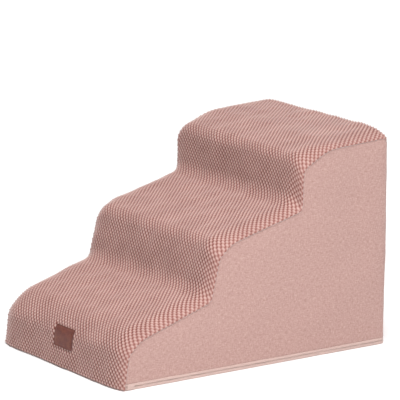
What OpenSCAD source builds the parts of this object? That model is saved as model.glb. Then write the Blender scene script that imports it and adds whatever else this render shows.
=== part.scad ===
// Foam pet stairs with three steps: glued foam blocks under one soft comfort layer, in a zip-off fabric cover.
// X runs across the steps, the low front faces -Y, Z is up, and the origin is under the middle of the base.

/* [Stairs] */
// Width across the steps
stair_w = 400; // [320:10:600]
// Length from the front foot to the back, at the side seams
stair_l = 580; // [480:5:900]
// Height of the side seams at the top step
stair_h = 389; // [320:1:560]

/* [Soft top] */
// How far the steps swell above the side seams, in the middle
crown_h = 16; // [6:1:22]
// Width beside each seam over which the swelling grows
crown_edge_w = 45; // [35:5:120]
// Thickness of the comfort layer at the seams
comfort_t = 22; // [16:1:26]
// Thickness of the knitted bobble fabric
knit_t = 3; // [2:0.5:4]

/* [Plain panels] */
// Thickness of the side and back fabric
panel_t = 1.6; // [1.2:0.2:2.4]
// Radius of the upright back corners and of the top back edge
back_edge_r = 12; // [9:1:16]
// Height of the knitted fabric that turns down over the back
back_turn_h = 22; // [20:1:40]

/* [Base] */
// Thickness of the anti-slip base fabric
base_t = 1.5; // [1:0.1:2]
// Diameter of a rubber dot
dot_d = 8; // [5:0.5:12]
// Height of a rubber dot
dot_h = 1; // [0.8:0.1:1.5]
// Distance between rubber dots
dot_pitch = 45; // [35:1:60]

/* [Zip] */
// Width of each visible tape
tape_w = 4.6; // [4:0.1:6]
// Thickness of a tape
tape_t = 0.8; // [0.6:0.1:1]
// Gap between the two tapes
tape_gap = 1.6; // [1.4:0.1:2.4]
// Width of one row of coils
coil_w = 1.5; // [1.2:0.1:1.8]
// Depth of a row of coils behind its tape
coil_h = 2.1; // [1.8:0.1:2.4]
// Length of a fabric tab over the zip's end
tab_l = 15; // [12:1:18]
// Length of the slider
slider_l = 12; // [10:0.5:15]
// Length of the slider's pull, from its hinge
pull_l = 28; // [22:1:36]
// Width of the slider's pull
pull_w = 7; // [6.5:0.1:8]

/* [Label] */
// Width of the label patch
label_w = 60; // [40:1:90]
// Height of the label patch along the riser
label_h = 38; // [25:1:42]
// How far the patch's middle lies to the right of the stairs' middle
label_x = 7; // [-60:1:60]
// Height of the patch's lower edge above the floor
label_z = 37; // [22:1:40]
// Thickness of the label patch
label_t = 1; // [0.8:0.1:1.6]

/* [Hidden] */
$fn = 48;

step_count = 3;
step_depth = stair_l / step_count;
step_rise = stair_h / step_count;
overrun = 5;
// Clearance between neighbouring layers
seat_gap = 0.3;
// Thickness of a glue line between foam blocks
glue_t = 0.2;

// The side seam's outline in shares of a step's depth and rise, from the front foot: where each step's
// riser starts, then its lower and upper nose points measured from there
foot_shares = [[0.01, 0], [0.965, 1.045], [1.997, 2.128]];
lower_nose_shares = [[0.047, 0.478], [0.096, 0.590], [0.013, 0.571]];
upper_nose_shares = [[0.186, 0.671], [0.235, 0.775], [0.305, 0.817]];
// Radii there in shares of a step's rise
foot_r_shares = [0, 0.108, 0.0925];
lower_nose_r_shares = [0.27, 0.193, 0.154];
upper_nose_r_shares = [0.54, 0.54, 0.77];
// How the same points follow the swelling, in shares of it, backwards and upwards
foot_crown_shares = [[-0.4, 0], [-0.4, 0.6], [-0.4, 0.6]];
lower_nose_crown_shares = [[-0.55, 0.35], [-0.19, 1.56], [-0.25, 1.3]];
upper_nose_crown_shares = [[-0.5, 0.85], [1.12, 0.91], [0.93, 0.51]];
back_crown_shares = [0, 0.75];
// How full the swelling is beside a seam: 1 rises straight, and more rises steeply there
crown_power = 2.5;
// Points across the steps, in shares of half the width
across_shares = [-1, -0.97, -0.91, -0.8, 0, 0.8, 0.91, 0.97, 1];
// Thickness left of the knitted fabric where it is rolled into the side seam
rolled_share = 0.6;
corner_points = 7;
least_r = 2;

half_w = stair_w / 2;
front_y = -stair_l / 2;
back_y = stair_l / 2;
base_top_z = dot_h + base_t;
zip_top_z = dot_h + 2 * tape_w + tape_gap;
foam_inset = panel_t + seat_gap;
foam_bottom_z = base_top_z + seat_gap;
core_inset = comfort_t + 2 * seat_gap;

// Small sizes of the zip
post_w = 1;
coil_inner_z = (post_w + 2 * seat_gap) / 2;
coil_front_n = -tape_t - seat_gap;
coil_back_n = coil_front_n - coil_h;
slider_plate_t = 1.2;
slider_play = 0.4;
slider_front_n = slider_play + slider_plate_t;
slider_back_n = coil_back_n - slider_play - slider_plate_t;
slider_wall_t = 1;
lug_w = 2.4;
lug_r = 1.7;
pin_r = 0.8;
pin_play = 0.05;
pin_n = slider_front_n + 1.5;
pull_t = 1.3;
pull_eye_r = 1.15;
pull_arm_w = 1.7;
pull_hole_share = 0.4;
pull_tip_share = 0.75;
zip_mid_z = dot_h + tape_w + tape_gap / 2;
slider_w = 2 * (zip_mid_z - base_top_z - seat_gap);
channel_inset = -slider_back_n + 2 * slider_play;
tape_start_y = front_y + foot_shares[0][0] * step_depth + knit_t;
tab_t = 1;
tab_start_y = tape_start_y + knit_t;
coil_start_y = tape_start_y + core_inset + knit_t;
slider_y = coil_start_y + slider_l;
slide_travel = back_y - back_edge_r - slider_l - slider_y;

label_corner_r = 3;

// Unit vector along v
function unit(v) = v / norm(v);

// The normal on the left of the direction from p to q, which points out of the stairs
function normal_of(p, q) = let (e = unit(q - p)) [-e[1], e[0]];

// Corners of the seam outline, swollen by c, from the front foot at height z to the end of the part that turns
// down at y = back
function corners(c, z, back = back_y) =
    let (at = function(i, s) [
        front_y + (foot_shares[i][0] + s[0]) * step_depth,
        (foot_shares[i][1] + s[1]) * step_rise
    ])
    let (steps = [for (i = [0:step_count - 1]) each [
        at(i, [0, 0]) + c * foot_crown_shares[i],
        at(i, lower_nose_shares[i]) + c * lower_nose_crown_shares[i],
        at(i, upper_nose_shares[i]) + c * upper_nose_crown_shares[i]
    ]])
    let (rise = (z - steps[0][1]) / (steps[1][1] - steps[0][1]))
    concat(
        [steps[0] + rise * (steps[1] - steps[0])],
        [for (i = [1:len(steps) - 1]) steps[i]],
        [[back, stair_h] + c * back_crown_shares, [back, stair_h - back_turn_h]]
    );

// Radii at the corners; the first, at the foot, goes unused
radii = concat(
    [for (i = [0:step_count - 1]) each [
        foot_r_shares[i] * step_rise, lower_nose_r_shares[i] * step_rise, upper_nose_r_shares[i] * step_rise
    ]],
    [back_edge_r]
);

// The corners moved out by d, square to the outline; the foot stays at its height
function moved(v, d) = [for (i = [0:len(v) - 1])
    let (a = i > 0 ? normal_of(v[i - 1], v[i]) : undef, b = i < len(v) - 1 ? normal_of(v[i], v[i + 1]) : undef)
    i == 0 ? v[i] + [d / b[0], 0] : i == len(v) - 1 ? v[i] + d * a : v[i] + d * (a + b) / (1 + a * b)
];

// The corner v between p and q as an arc of radius r
function arc(p, v, q, r) =
    let (a = unit(p - v), b = unit(q - v), half = acos(a * b) / 2)
    let (c = v + unit(a + b) * r / sin(half))
    let (s = v + a * r / tan(half) - c, e = v + b * r / tan(half) - c)
    let (start = atan2(s[1], s[0]), turn = atan2(s[0] * e[1] - s[1] * e[0], s * e))
    [for (k = [0:corner_points - 1])
        let (t = start + turn * k / (corner_points - 1)) c + r * [cos(t), sin(t)]];

// Corner i of v as an arc, where the outline lies d outside the seam
function rounded(v, i, d) =
    let (a = v[i] - v[i - 1], b = v[i + 1] - v[i], outward = a[1] * b[0] > a[0] * b[1] ? 1 : -1)
    arc(v[i - 1], v[i], v[i + 1], max(least_r, radii[i] + outward * d));

// The outline swollen by c and moved out by d, from height z at the foot to the end of the turned-down back
function outline(c, d, z, back = back_y) =
    let (v = moved(corners(c, z, back), d))
    concat([v[0]], [for (i = [1:len(v) - 2]) each rounded(v, i, d)], [v[len(v) - 1]]);

// The seam outline moved out by d, that runs straight on to y instead of turning down, with as many points
// as outline() has without its last one
function open_outline(d, z, y) =
    let (v = moved(corners(0, z), d), n = len(v), p = v[n - 3], q = v[n - 2])
    concat(
        [v[0]],
        [for (i = [1:n - 3]) each rounded(v, i, d)],
        [for (k = [0:corner_points - 1])
            let (at_y = y - back_edge_r * (1 - k / (corner_points - 1)))
            [at_y, p[1] + (q[1] - p[1]) * (at_y - p[0]) / (q[0] - p[0])]]
    );

// How far the top swells at a share of half the width
function swelling(share) =
    crown_h * (1 - pow(max(0, 1 - (1 - abs(share)) * half_w / crown_edge_w), crown_power));

// Half the width at y, inside the rounded back corners
function half_w_at(y, inset) =
    let (r = back_edge_r - inset, over = min(r, max(0, y - back_y + back_edge_r)))
    half_w - inset - r + sqrt(r * r - over * over);

// Rows of points across the stairs from one outline for each place across; widths follow the y of the first
function rows(lines, inset) = [for (i = [0:len(lines[0]) - 1]) [for (j = [0:len(across_shares) - 1])
    [across_shares[j] * half_w_at(lines[0][i][0], inset), lines[j][i][0], lines[j][i][1]]]];

// A closed shell between two sets of rows
module shell(outer, inner) {
    m = len(outer);
    n = len(outer[0]);
    under = m * n;
    function quad(a, b, c, d) = [[a, b, c], [a, c, d]];
    tops = [for (i = [0:m - 2]) for (j = [0:n - 2])
        each quad(i * n + j, (i + 1) * n + j, (i + 1) * n + j + 1, i * n + j + 1)];
    bottoms = [for (f = tops) [f[2] + under, f[1] + under, f[0] + under]];
    sides = [for (i = [0:m - 2]) for (j = [0, n - 1])
        let (a = (j == 0 ? i + 1 : i) * n + j, b = (j == 0 ? i : i + 1) * n + j)
        each quad(a, b, b + under, a + under)];
    ends = [for (j = [0:n - 2]) for (i = [0, m - 1])
        let (a = i * n + (i == 0 ? j : j + 1), b = i * n + (i == 0 ? j + 1 : j))
        each quad(a, b, b + under, a + under)];
    points = concat([for (row = outer) each row], [for (row = inner) each row]);
    polyhedron(points, concat(tops, bottoms, sides, ends));
}

// A flat outline in Y and Z, drawn out evenly along X
module along_x(w) {
    translate([-w / 2, 0, 0]) rotate([90, 0, 90]) linear_extrude(w) children();
}

// The stairs seen from above, drawn in by inset, with round back corners and run on past the front
module plan(inset) {
    r = max(least_r, back_edge_r - inset);
    w = stair_w - 2 * inset;
    translate([-w / 2, front_y - overrun]) square([w, stair_l - inset - r + overrun]);
    translate([-w / 2 + r, front_y - overrun]) square([w - 2 * r, stair_l - inset + overrun]);
    for (side = [-1, 1]) translate([side * (w / 2 - r), back_y - inset - r]) circle(r);
}

// A wall of thickness t along both sides and the back, from z up by h
module wall(t, inset, z, h) {
    translate([0, 0, z]) linear_extrude(h) difference() {
        plan(inset);
        plan(inset + t);
    }
}

// The space on one side of the stairs, up to the mitre through the back corner
module beside(side) {
    far = stair_l;
    translate([0, 0, -overrun]) linear_extrude(stair_h + 2 * overrun) polygon([
        [0, front_y - far], [side * (half_w + far), front_y - far],
        [side * (half_w + far), back_y + far - seat_gap], [0, back_y - half_w - seat_gap]
    ]);
}

// The foam core, inside the comfort layer and the panels
module core() {
    end_y = back_y - foam_inset;
    intersection() {
        along_x(stair_w) polygon(concat(open_outline(-core_inset, foam_bottom_z, end_y), [[end_y, foam_bottom_z]]));
        translate([0, 0, foam_bottom_z]) linear_extrude(stair_h) plan(foam_inset);
    }
}

// Height of the crease below a step, where the foam blocks meet
function block_z(step) = moved(corners(0, foam_bottom_z), -core_inset)[3 * step][1];

module slab(z, h) {
    translate([-stair_w, -stair_l, z]) cube([2 * stair_w, 2 * stair_l, h]);
}

module lower_foam_block() {
    channel_top_z = zip_top_z + seat_gap;
    color("#f1ead9") difference() {
        intersection() {
            core();
            slab(0, block_z(1) - glue_t / 2);
        }
        difference() {
            slab(0, channel_top_z);
            translate([0, 0, -overrun]) linear_extrude(channel_top_z + 2 * overrun) plan(channel_inset);
        }
    }
}

module middle_foam_block() {
    color("#efe6d2") intersection() {
        core();
        slab(block_z(1) + glue_t / 2, block_z(2) - block_z(1) - glue_t);
    }
}

module upper_foam_block() {
    color("#f1ead9") intersection() {
        core();
        slab(block_z(2) + glue_t / 2, stair_h);
    }
}

// One soft sheet bent over all steps, thickest in the middle
module comfort_layer() {
    end_y = back_y - foam_inset;
    function top(s) = outline(swelling(s), -seat_gap, foam_bottom_z, end_y + seat_gap);
    tops = [for (s = across_shares) [for (i = [0:len(top(s)) - 2]) top(s)[i]]];
    bottom = open_outline(-core_inset + seat_gap, foam_bottom_z, end_y);
    bottoms = [for (s = across_shares) bottom];
    color("#f7f3ea") shell(rows(tops, foam_inset), rows(bottoms, foam_inset));
}

// The knitted strip from the front foot over all steps to the top of the back
module step_cover() {
    edge = outline(0, 0, dot_h);
    function strip(d) = [for (s = across_shares) outline(swelling(s), abs(s) == 1 ? d * rolled_share : d, dot_h)];
    function placed(lines) = [for (i = [0:len(edge) - 1]) [for (j = [0:len(across_shares) - 1])
        [across_shares[j] * half_w_at(edge[i][0], 0), lines[j][i][0], lines[j][i][1]]]];
    color("#d8a9a1") shell(placed(strip(knit_t)), placed(strip(0)));
}

// The outline that the upright panels reach up to, just under the knitted strip
module panel_outline() {
    line = outline(0, -seat_gap, zip_top_z + seat_gap);
    end = line[len(line) - 1];
    along_x(stair_w) polygon(concat(line, [[end[0] + overrun, end[1]], [end[0] + overrun, line[0][1]]]));
}

module side_panel(side) {
    color("#dcb0a8") intersection() {
        wall(panel_t, 0, zip_top_z + seat_gap, stair_h);
        panel_outline();
        beside(side);
    }
}

module right_side_panel() side_panel(1);

module left_side_panel() side_panel(-1);

module back_panel() {
    z = zip_top_z + seat_gap;
    top_z = stair_h - back_turn_h - seat_gap;
    turned_w = stair_w - 2 * (back_edge_r - seat_gap);
    color("#dcb0a8") difference() {
        intersection() {
            wall(panel_t, 0, z, stair_h);
            panel_outline();
        }
        for (side = [-1, 1]) translate([0, seat_gap, 0]) beside(side);
        translate([-turned_w / 2, 0, top_z]) cube([turned_w, stair_l, stair_h]);
    }
}

// Anti-slip fabric under the stairs, with moulded rubber dots
module base_panel() {
    inset = tape_t + seat_gap;
    front = [for (s = across_shares) [
        s * half_w_at(front_y, inset), corners(swelling(s), dot_h)[0][0] + seat_gap
    ]];
    columns = floor((half_w - dot_d) / dot_pitch);
    lines = floor((stair_l / 2 - dot_d) / dot_pitch);
    color("#4d4648") {
        translate([0, 0, dot_h]) linear_extrude(base_t) intersection() {
            plan(inset);
            polygon(concat(front, [[stair_w, 0], [stair_w, stair_l], [-stair_w, stair_l], [-stair_w, 0]]));
        }
        for (i = [-columns:columns]) for (j = [-lines:lines])
            translate([i * dot_pitch, j * dot_pitch, 0]) cylinder(h = dot_h + base_t / 2, d = dot_d);
    }
}

// What lies behind y
module behind(y) {
    translate([-stair_w, y, -overrun]) cube([2 * stair_w, stair_l * 2, stair_h]);
}

module zip_tape(z) {
    color("#e6c6bf") intersection() {
        wall(tape_t, 0, z, tape_w);
        behind(tape_start_y);
    }
}

module lower_zip_tape() zip_tape(dot_h);

module upper_zip_tape() zip_tape(zip_top_z - tape_w);

// One row of coils, sewn behind its tape
module zip_coil(z) {
    color("#e9cfc9") intersection() {
        wall(coil_h, -coil_front_n, z, coil_w);
        behind(coil_start_y);
    }
}

module lower_zip_coil() zip_coil(zip_mid_z - coil_inner_z - coil_w);

module upper_zip_coil() zip_coil(zip_mid_z + coil_inner_z);

module zip_end_tabs() {
    color("#ecd3cd") for (side = [-1, 1])
        translate([side * (half_w + seat_gap + tab_t / 2) - tab_t / 2, tab_start_y, dot_h])
            cube([tab_t, tab_l, zip_top_z - dot_h]);
}

// Puts X out of the left side at the slider, and keeps Y
module at_slider() {
    translate([-half_w, slider_y, zip_mid_z]) mirror([1, 0, 0]) children();
}

// A flat piece in Y and Z from x to x + t
module plate(x, t) {
    translate([x, 0, 0]) rotate([90, 0, 90]) linear_extrude(t) children();
}

module slider_outline() {
    half_shares = [[-0.5, 0.34], [-0.4, 0.5], [0.05, 0.5], [0.4, 0.35], [0.5, 0.22]];
    n = len(half_shares);
    polygon([
        for (p = half_shares) [p[0] * slider_l, p[1] * slider_w],
        for (i = [n - 1:-1:0]) [half_shares[i][0] * slider_l, -half_shares[i][1] * slider_w]
    ]);
}

module zip_slider() {
    rim_n = -tape_t - slider_play;
    floor_n = slider_back_n + slider_plate_t;
    inner_w = slider_w - 2 * slider_wall_t;
    lug_h = pin_n - slider_front_n;
    color("#c9a9a2") at_slider() {
        plate(slider_play, slider_plate_t) slider_outline();
        difference() {
            plate(slider_back_n, rim_n - slider_back_n) slider_outline();
            translate([floor_n, -slider_l, -inner_w / 2]) cube([rim_n - floor_n + overrun, 2 * slider_l, inner_w]);
        }
        translate([floor_n - slider_plate_t / 2, -slider_l * 0.5, -post_w / 2])
            cube([slider_play - floor_n + slider_plate_t, slider_l / 4, post_w]);
        difference() {
            union() {
                translate([pin_n, 0, -lug_w / 2]) cylinder(h = lug_w, r = lug_r);
                translate([slider_front_n - slider_plate_t / 2, -lug_r, -lug_w / 2])
                    cube([lug_h + slider_plate_t / 2, 2 * lug_r, lug_w]);
            }
            translate([pin_n, 0, -lug_w]) cylinder(h = 2 * lug_w, r = pin_r + pin_play);
        }
    }
}

module zip_pull() {
    bar_l = lug_w + 2 * (seat_gap + pull_arm_w);
    plate_y = lug_r + 2 * seat_gap;
    tip_r = pull_w * pull_tip_share / 2;
    color("#c9a9a2") at_slider() {
        translate([pin_n, 0, -bar_l / 2]) cylinder(h = bar_l, r = pin_r);
        for (side = [-1, 1]) translate([pin_n, 0, side * (bar_l - pull_arm_w) / 2 - pull_arm_w / 2]) {
            cylinder(h = pull_arm_w, r = pull_eye_r);
            translate([-pull_t / 2, 0, 0]) cube([pull_t, plate_y + pull_arm_w, pull_arm_w]);
        }
        plate(pin_n - pull_t / 2, pull_t) difference() {
            union() {
                polygon([
                    [plate_y, -pull_w / 2], [pull_l - tip_r, -tip_r], [pull_l - tip_r, tip_r], [plate_y, pull_w / 2]
                ]);
                translate([pull_l - tip_r, 0]) circle(tip_r);
            }
            translate([pull_l - tip_r, 0]) circle(tip_r * pull_hole_share);
        }
    }
}

// A leather-like patch on the first riser, bent with the swollen fabric
module label_patch() {
    d = knit_t + seat_gap;
    function riser(d) = [for (i = [0:2 * corner_points]) outline(crown_h, d, dot_h)[i]];
    front = riser(d + label_t);
    back = riser(d);
    r = label_corner_r;
    color("#8c4e40") intersection() {
        along_x(stair_w) polygon(concat(front, [for (i = [len(back) - 1:-1:0]) back[i]]));
        translate([label_x, front_y + step_depth / 2, label_z]) rotate([90, 0, 0]) linear_extrude(step_depth) {
            translate([-label_w / 2 + r, 0]) square([label_w - 2 * r, label_h]);
            translate([-label_w / 2, r]) square([label_w, label_h - 2 * r]);
            for (x = [-1, 1]) for (z = [r, label_h - r]) translate([x * (label_w / 2 - r), z]) circle(r);
        }
    }
}

lower_foam_block();
middle_foam_block();
upper_foam_block();
comfort_layer();
step_cover();
right_side_panel();
left_side_panel();
back_panel();
base_panel();
lower_zip_tape();
upper_zip_tape();
lower_zip_coil();
upper_zip_coil();
zip_end_tabs();
zip_slider();
zip_pull();
label_patch();
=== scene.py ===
# %% [markdown]
# Foam pet stairs under a zip-off cover. The real thing is three glued foam blocks with a soft
# comfort layer bent over them. A strip of bobble knit runs over all the steps, plain panels close
# the sides and the back, and a zip goes round the foot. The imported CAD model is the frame: every
# piece here is made around it, in metres, with +Z up and the low front step facing -Y.

# %% Load the frame
import math

import bmesh
import bpy
import numpy as np
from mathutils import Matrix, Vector, geometry, kdtree


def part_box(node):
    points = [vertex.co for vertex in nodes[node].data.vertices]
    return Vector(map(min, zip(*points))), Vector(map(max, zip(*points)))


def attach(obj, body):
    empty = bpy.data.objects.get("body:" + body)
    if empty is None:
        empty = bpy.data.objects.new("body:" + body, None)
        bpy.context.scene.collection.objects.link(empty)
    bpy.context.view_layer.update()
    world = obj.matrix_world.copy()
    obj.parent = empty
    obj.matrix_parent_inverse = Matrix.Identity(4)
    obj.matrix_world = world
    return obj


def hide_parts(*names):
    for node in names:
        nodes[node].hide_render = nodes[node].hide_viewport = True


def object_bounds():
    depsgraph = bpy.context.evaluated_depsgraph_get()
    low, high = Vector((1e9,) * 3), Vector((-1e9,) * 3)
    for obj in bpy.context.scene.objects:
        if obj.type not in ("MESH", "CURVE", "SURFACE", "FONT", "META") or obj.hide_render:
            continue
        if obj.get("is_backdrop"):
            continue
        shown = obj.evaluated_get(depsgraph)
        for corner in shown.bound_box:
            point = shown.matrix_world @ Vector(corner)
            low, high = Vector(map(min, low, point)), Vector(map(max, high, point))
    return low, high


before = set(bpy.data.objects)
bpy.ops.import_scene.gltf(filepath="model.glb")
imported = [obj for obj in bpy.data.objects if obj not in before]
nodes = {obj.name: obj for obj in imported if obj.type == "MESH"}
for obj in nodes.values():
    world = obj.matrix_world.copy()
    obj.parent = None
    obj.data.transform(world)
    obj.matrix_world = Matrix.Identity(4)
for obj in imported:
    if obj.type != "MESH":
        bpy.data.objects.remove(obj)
cad_bounds = [list(corner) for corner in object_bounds()]
MM = 0.001
print("CAD box in metres:", [[round(v, 4) for v in corner] for corner in cad_bounds])

# %% [markdown]
# The cover's soft surfaces follow the same side seam as the CAD source, so its driving sizes are
# repeated here. They could be measured on the CAD meshes, but it is surer to use the same values
# in the same way. The seam's corners are shares of one step's depth and rise, and each corner is
# rounded. The middle of the stairs swells above the seam, so every corner also says how it
# follows the swelling, back and up.

# %% Sizes of the stairs
half_w = 200 * MM
back_y = 290 * MM
front_y = -back_y
seam_h = 389 * MM
step_depth = (back_y - front_y) / 3
step_rise = seam_h / 3
floor_gap = 1 * MM
edge_r = 12 * MM
back_turn_h = 22 * MM
crown_h = 16 * MM
crown_edge_w = 45 * MM
knit_t = 3 * MM
panel_t = 1.6 * MM
seat_gap = 0.3 * MM
side_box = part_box("left_side_panel")[0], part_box("right_side_panel")[1]
print("side panel to side panel", round((side_box[1].x - side_box[0].x) / MM, 1), "mm")

# %% Corners of the seam, in shares of a step
# For each step: where its riser starts, then its two nose points, measured from there.
foot_shares = [(0.01, 0), (0.965, 1.045), (1.997, 2.128)]
nose_shares = [
    [(0.047, 0.478), (0.186, 0.671)],
    [(0.096, 0.590), (0.235, 0.775)],
    [(0.013, 0.571), (0.305, 0.817)],
]
# The radius at each corner, in shares of a rise, and how the corner follows the swelling.
radius_shares = [0, 0.27, 0.54, 0.108, 0.193, 0.54, 0.0925, 0.154, 0.77]
crown_shares = [
    (-0.4, 0), (-0.55, 0.35), (-0.5, 0.85),
    (-0.4, 0.6), (-0.19, 1.56), (1.12, 0.91),
    (-0.4, 0.6), (-0.25, 1.3), (0.93, 0.51),
    (0, 0.88),
]
radii = [share * step_rise for share in radius_shares] + [edge_r]
print("radii at the corners", [round(r / MM) for r in radii[1:]], "mm")

# %% Corners of the side seam


def seam_corners(crown, low_z, back):
    """Corners of the side seam in Y and Z, swollen by crown, from the foot at low_z to the turn
    down at back."""
    start, step = np.array([front_y, 0]), np.array([step_depth, step_rise])
    flat = []
    for foot, noses in zip(foot_shares, nose_shares):
        flat += [np.array(foot)] + [np.array(foot) + nose for nose in noses]
    flat = [start + p * step for p in flat] + [np.array([back, seam_h])]
    swollen = [p + crown * np.array(share) for p, share in zip(flat, crown_shares)]
    rise = (low_z - swollen[0][1]) / (swollen[1][1] - swollen[0][1])
    swollen[0] = swollen[0] + rise * (swollen[1] - swollen[0])
    return swollen + [np.array([back, seam_h - back_turn_h])]


def outward(p, q):
    """The unit normal to the left of the way from p to q, which points out of the stairs."""
    along = (q - p) / np.linalg.norm(q - p)
    return np.array([-along[1], along[0]])


def moved(corners, d):
    """The corners moved out by d, square to the outline. The foot stays at its height."""
    normals = [outward(p, q) for p, q in zip(corners, corners[1:])]
    result = [corners[0] + [d / normals[0][0], 0]]
    for corner, a, b in zip(corners[1:], normals, normals[1:]):
        result.append(corner + d * (a + b) / (1 + a @ b))
    return result + [corners[-1] + d * normals[-1]]


print("corners of the seam", len(seam_corners(0, floor_gap, back_y)))

# %% [markdown]
# Foam under a taut cover bridges an inner corner instead of filling it. So the hollows in front
# of the risers get a larger radius where the top is swollen, and keep their own at the seams.

# %% Rounded outline of the stairs
arc_points = 24
least_r = 2 * MM
foot_soft_r = 24 * MM


def rounded(p, v, q, r):
    """The corner v between p and q as an arc of radius r."""
    a, b = (p - v) / np.linalg.norm(p - v), (q - v) / np.linalg.norm(q - v)
    half = math.acos(np.clip(a @ b, -1, 1)) / 2
    centre = v + (a + b) / np.linalg.norm(a + b) * r / math.sin(half)
    s, e = v + a * r / math.tan(half) - centre, v + b * r / math.tan(half) - centre
    start, turn = math.atan2(s[1], s[0]), math.atan2(s[0] * e[1] - s[1] * e[0], s @ e)
    angles = start + turn * np.linspace(0, 1, arc_points)
    return centre + r * np.c_[np.cos(angles), np.sin(angles)]


def outline(crown, d, low_z=floor_gap, back=back_y, open_y=None):
    """The rounded side outline, swollen by crown and moved out by d. It turns down at back, or
    with open_y runs straight on to there."""
    corners = moved(seam_corners(crown, low_z, back), d)
    points = [corners[0][None]]
    last = len(corners) - 2
    for i in range(1, last + (open_y is None)):
        a, b = corners[i] - corners[i - 1], corners[i + 1] - corners[i]
        hollow = a[1] * b[0] < a[0] * b[1]
        r = radii[i] + foot_soft_r * crown / crown_h - d if hollow else radii[i] + d
        points.append(rounded(corners[i - 1], corners[i], corners[i + 1], max(least_r, r)))
    if open_y is None:
        return np.vstack(points + [corners[-1][None]])
    p, q = corners[last - 1], corners[last]
    y = open_y - edge_r * np.linspace(1, 0, arc_points)
    return np.vstack(points + [np.c_[y, p[1] + (q[1] - p[1]) * (y - p[0]) / (q[0] - p[0])]])


def lengths(line):
    """Distance along a line of points, from its start to each point."""
    return np.r_[0, np.cumsum(np.linalg.norm(np.diff(line, axis=0), axis=1))]


seam = outline(0, 0)
print("side seam", round(lengths(seam)[-1] / MM), "mm long, top at",
      round(seam[:, 1].max() / MM, 1), "mm")

# %% [markdown]
# Cloth and foam surfaces are grids of points, so a few helpers turn grids into meshes. A closed
# shell has its faces turned outwards by Blender, because that is surer than keeping count by
# hand. The cloth's own lengths become the UV map, in metres, so a weave keeps its real size
# wherever the cloth bends.

# %% New objects


def link(piece):
    """Add a new object to the scene."""
    bpy.context.scene.collection.objects.link(piece)
    return piece


def only(piece):
    """Select one object alone, and make it active."""
    bpy.ops.object.select_all(action="DESELECT")
    piece.select_set(True)
    bpy.context.view_layer.objects.active = piece


def make_mesh(name, points, faces, uv=None):
    """A new smooth object at the origin, with closed faces turned outwards. uv has one pair for
    each point."""
    mesh = bpy.data.meshes.new(name)
    mesh.from_pydata(np.asarray(points).tolist(), [], faces)
    work = bmesh.new()
    work.from_mesh(mesh)
    bmesh.ops.recalc_face_normals(work, faces=work.faces)
    work.to_mesh(mesh)
    work.free()
    mesh.polygons.foreach_set("use_smooth", [True] * len(mesh.polygons))
    if uv is not None:
        loop_points = np.empty(len(mesh.loops), np.int32)
        mesh.loops.foreach_get("vertex_index", loop_points)
        uv_map = mesh.uv_layers.new(name="cloth")
        uv_map.data.foreach_set("uv", np.asarray(uv, np.float32)[loop_points].ravel())
    mesh.update()
    return link(bpy.data.objects.new(name, mesh))


print("pieces stand around", len(nodes), "CAD nodes")

# %% Grids of points


def grid_faces(rows, columns, start=0):
    """Quads of a grid of points numbered row by row from start."""
    i, j = np.meshgrid(np.arange(rows - 1), np.arange(columns - 1), indexing="ij")
    a = (start + i * columns + j).ravel()
    return np.c_[a, a + 1, a + 1 + columns, a + columns].tolist()


def border(rows, columns):
    """Numbers of a grid's border points, once round."""
    top, left = np.arange(columns), np.arange(rows) * columns
    return [*top, *(left[1:] + columns - 1), *(top[-2::-1] + (rows - 1) * columns), *left[-2:0:-1]]


def closed_grid(name, outer, inner, uv):
    """A closed shell between two grids of the same shape."""
    rows, columns = outer.shape[:2]
    under = rows * columns
    faces = grid_faces(rows, columns) + grid_faces(rows, columns, under)
    rim = border(rows, columns)
    faces += [[a, b, b + under, a + under] for a, b in zip(rim, rim[1:] + rim[:1])]
    points = np.vstack([outer.reshape(-1, 3), inner.reshape(-1, 3)])
    return make_mesh(name, points, faces, np.vstack([uv.reshape(-1, 2)] * 2))


def grid_normals(grid):
    """Unit normals of a grid of points, to the side of (along a row) x (along a column)."""
    normal = np.cross(np.gradient(grid, axis=1), np.gradient(grid, axis=0))
    return normal / np.maximum(np.linalg.norm(normal, axis=2, keepdims=True), 1e-12)


print("a grid of 3 by 4 points has", len(grid_faces(3, 4)), "faces and", len(border(3, 4)),
      "border points")

# %% [markdown]
# Cloth over foam is never quite even. Sculpting would give that by hand, but a sum of a few long
# waves in random directions does it for every piece alike. The random numbers start from a fixed
# seed, so each run gives the same cloth.

# %% Soft unevenness
wave_count = 14
wave_length_shares = (0.6, 1.7)


def soft_noise(u, v, seed, size):
    """A smooth unevenness between about -1 and 1, with waves about size long."""
    draw = np.random.RandomState(seed)
    total = np.zeros(np.broadcast(u, v).shape)
    for _ in range(wave_count):
        angle, phase = draw.uniform(0, 2 * np.pi, 2)
        k = 2 * np.pi / (size * draw.uniform(*wave_length_shares))
        total += np.sin(k * (u * math.cos(angle) + v * math.sin(angle)) + phase)
    return total / math.sqrt(wave_count)


def ease(x):
    """0 below 0, 1 above 1, and smooth between."""
    x = np.clip(x, 0, 1)
    return x * x * (3 - 2 * x)


sample = soft_noise(np.linspace(0, 1, 500), 0, seed=5, size=90 * MM)
print("unevenness from", round(sample.min(), 2), "to", round(sample.max(), 2))

# %% [markdown]
# A place on the strip over the steps is told by how far across it lies, how far along, and how
# far out. The outline is worked out once for every column of points across the steps, with the
# column's own swelling. Bending a flat strip with modifiers would stretch its pattern where the
# steps are fuller and the way over them is longer. So each column's points are spread evenly
# between anchors: the front foot, the creases in front of the risers, and the turn down at the
# back.

# %% How full and how wide the top is
crown_power = 2.5
back_crown_w = 75 * MM


def swelling(share, edge_w=crown_edge_w):
    """How far the top swells at a share of half the width, if it slopes off over edge_w."""
    past = np.clip(1 - (1 - np.abs(share)) * half_w / edge_w, 0, 1)
    return crown_h * (1 - past ** crown_power)


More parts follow.
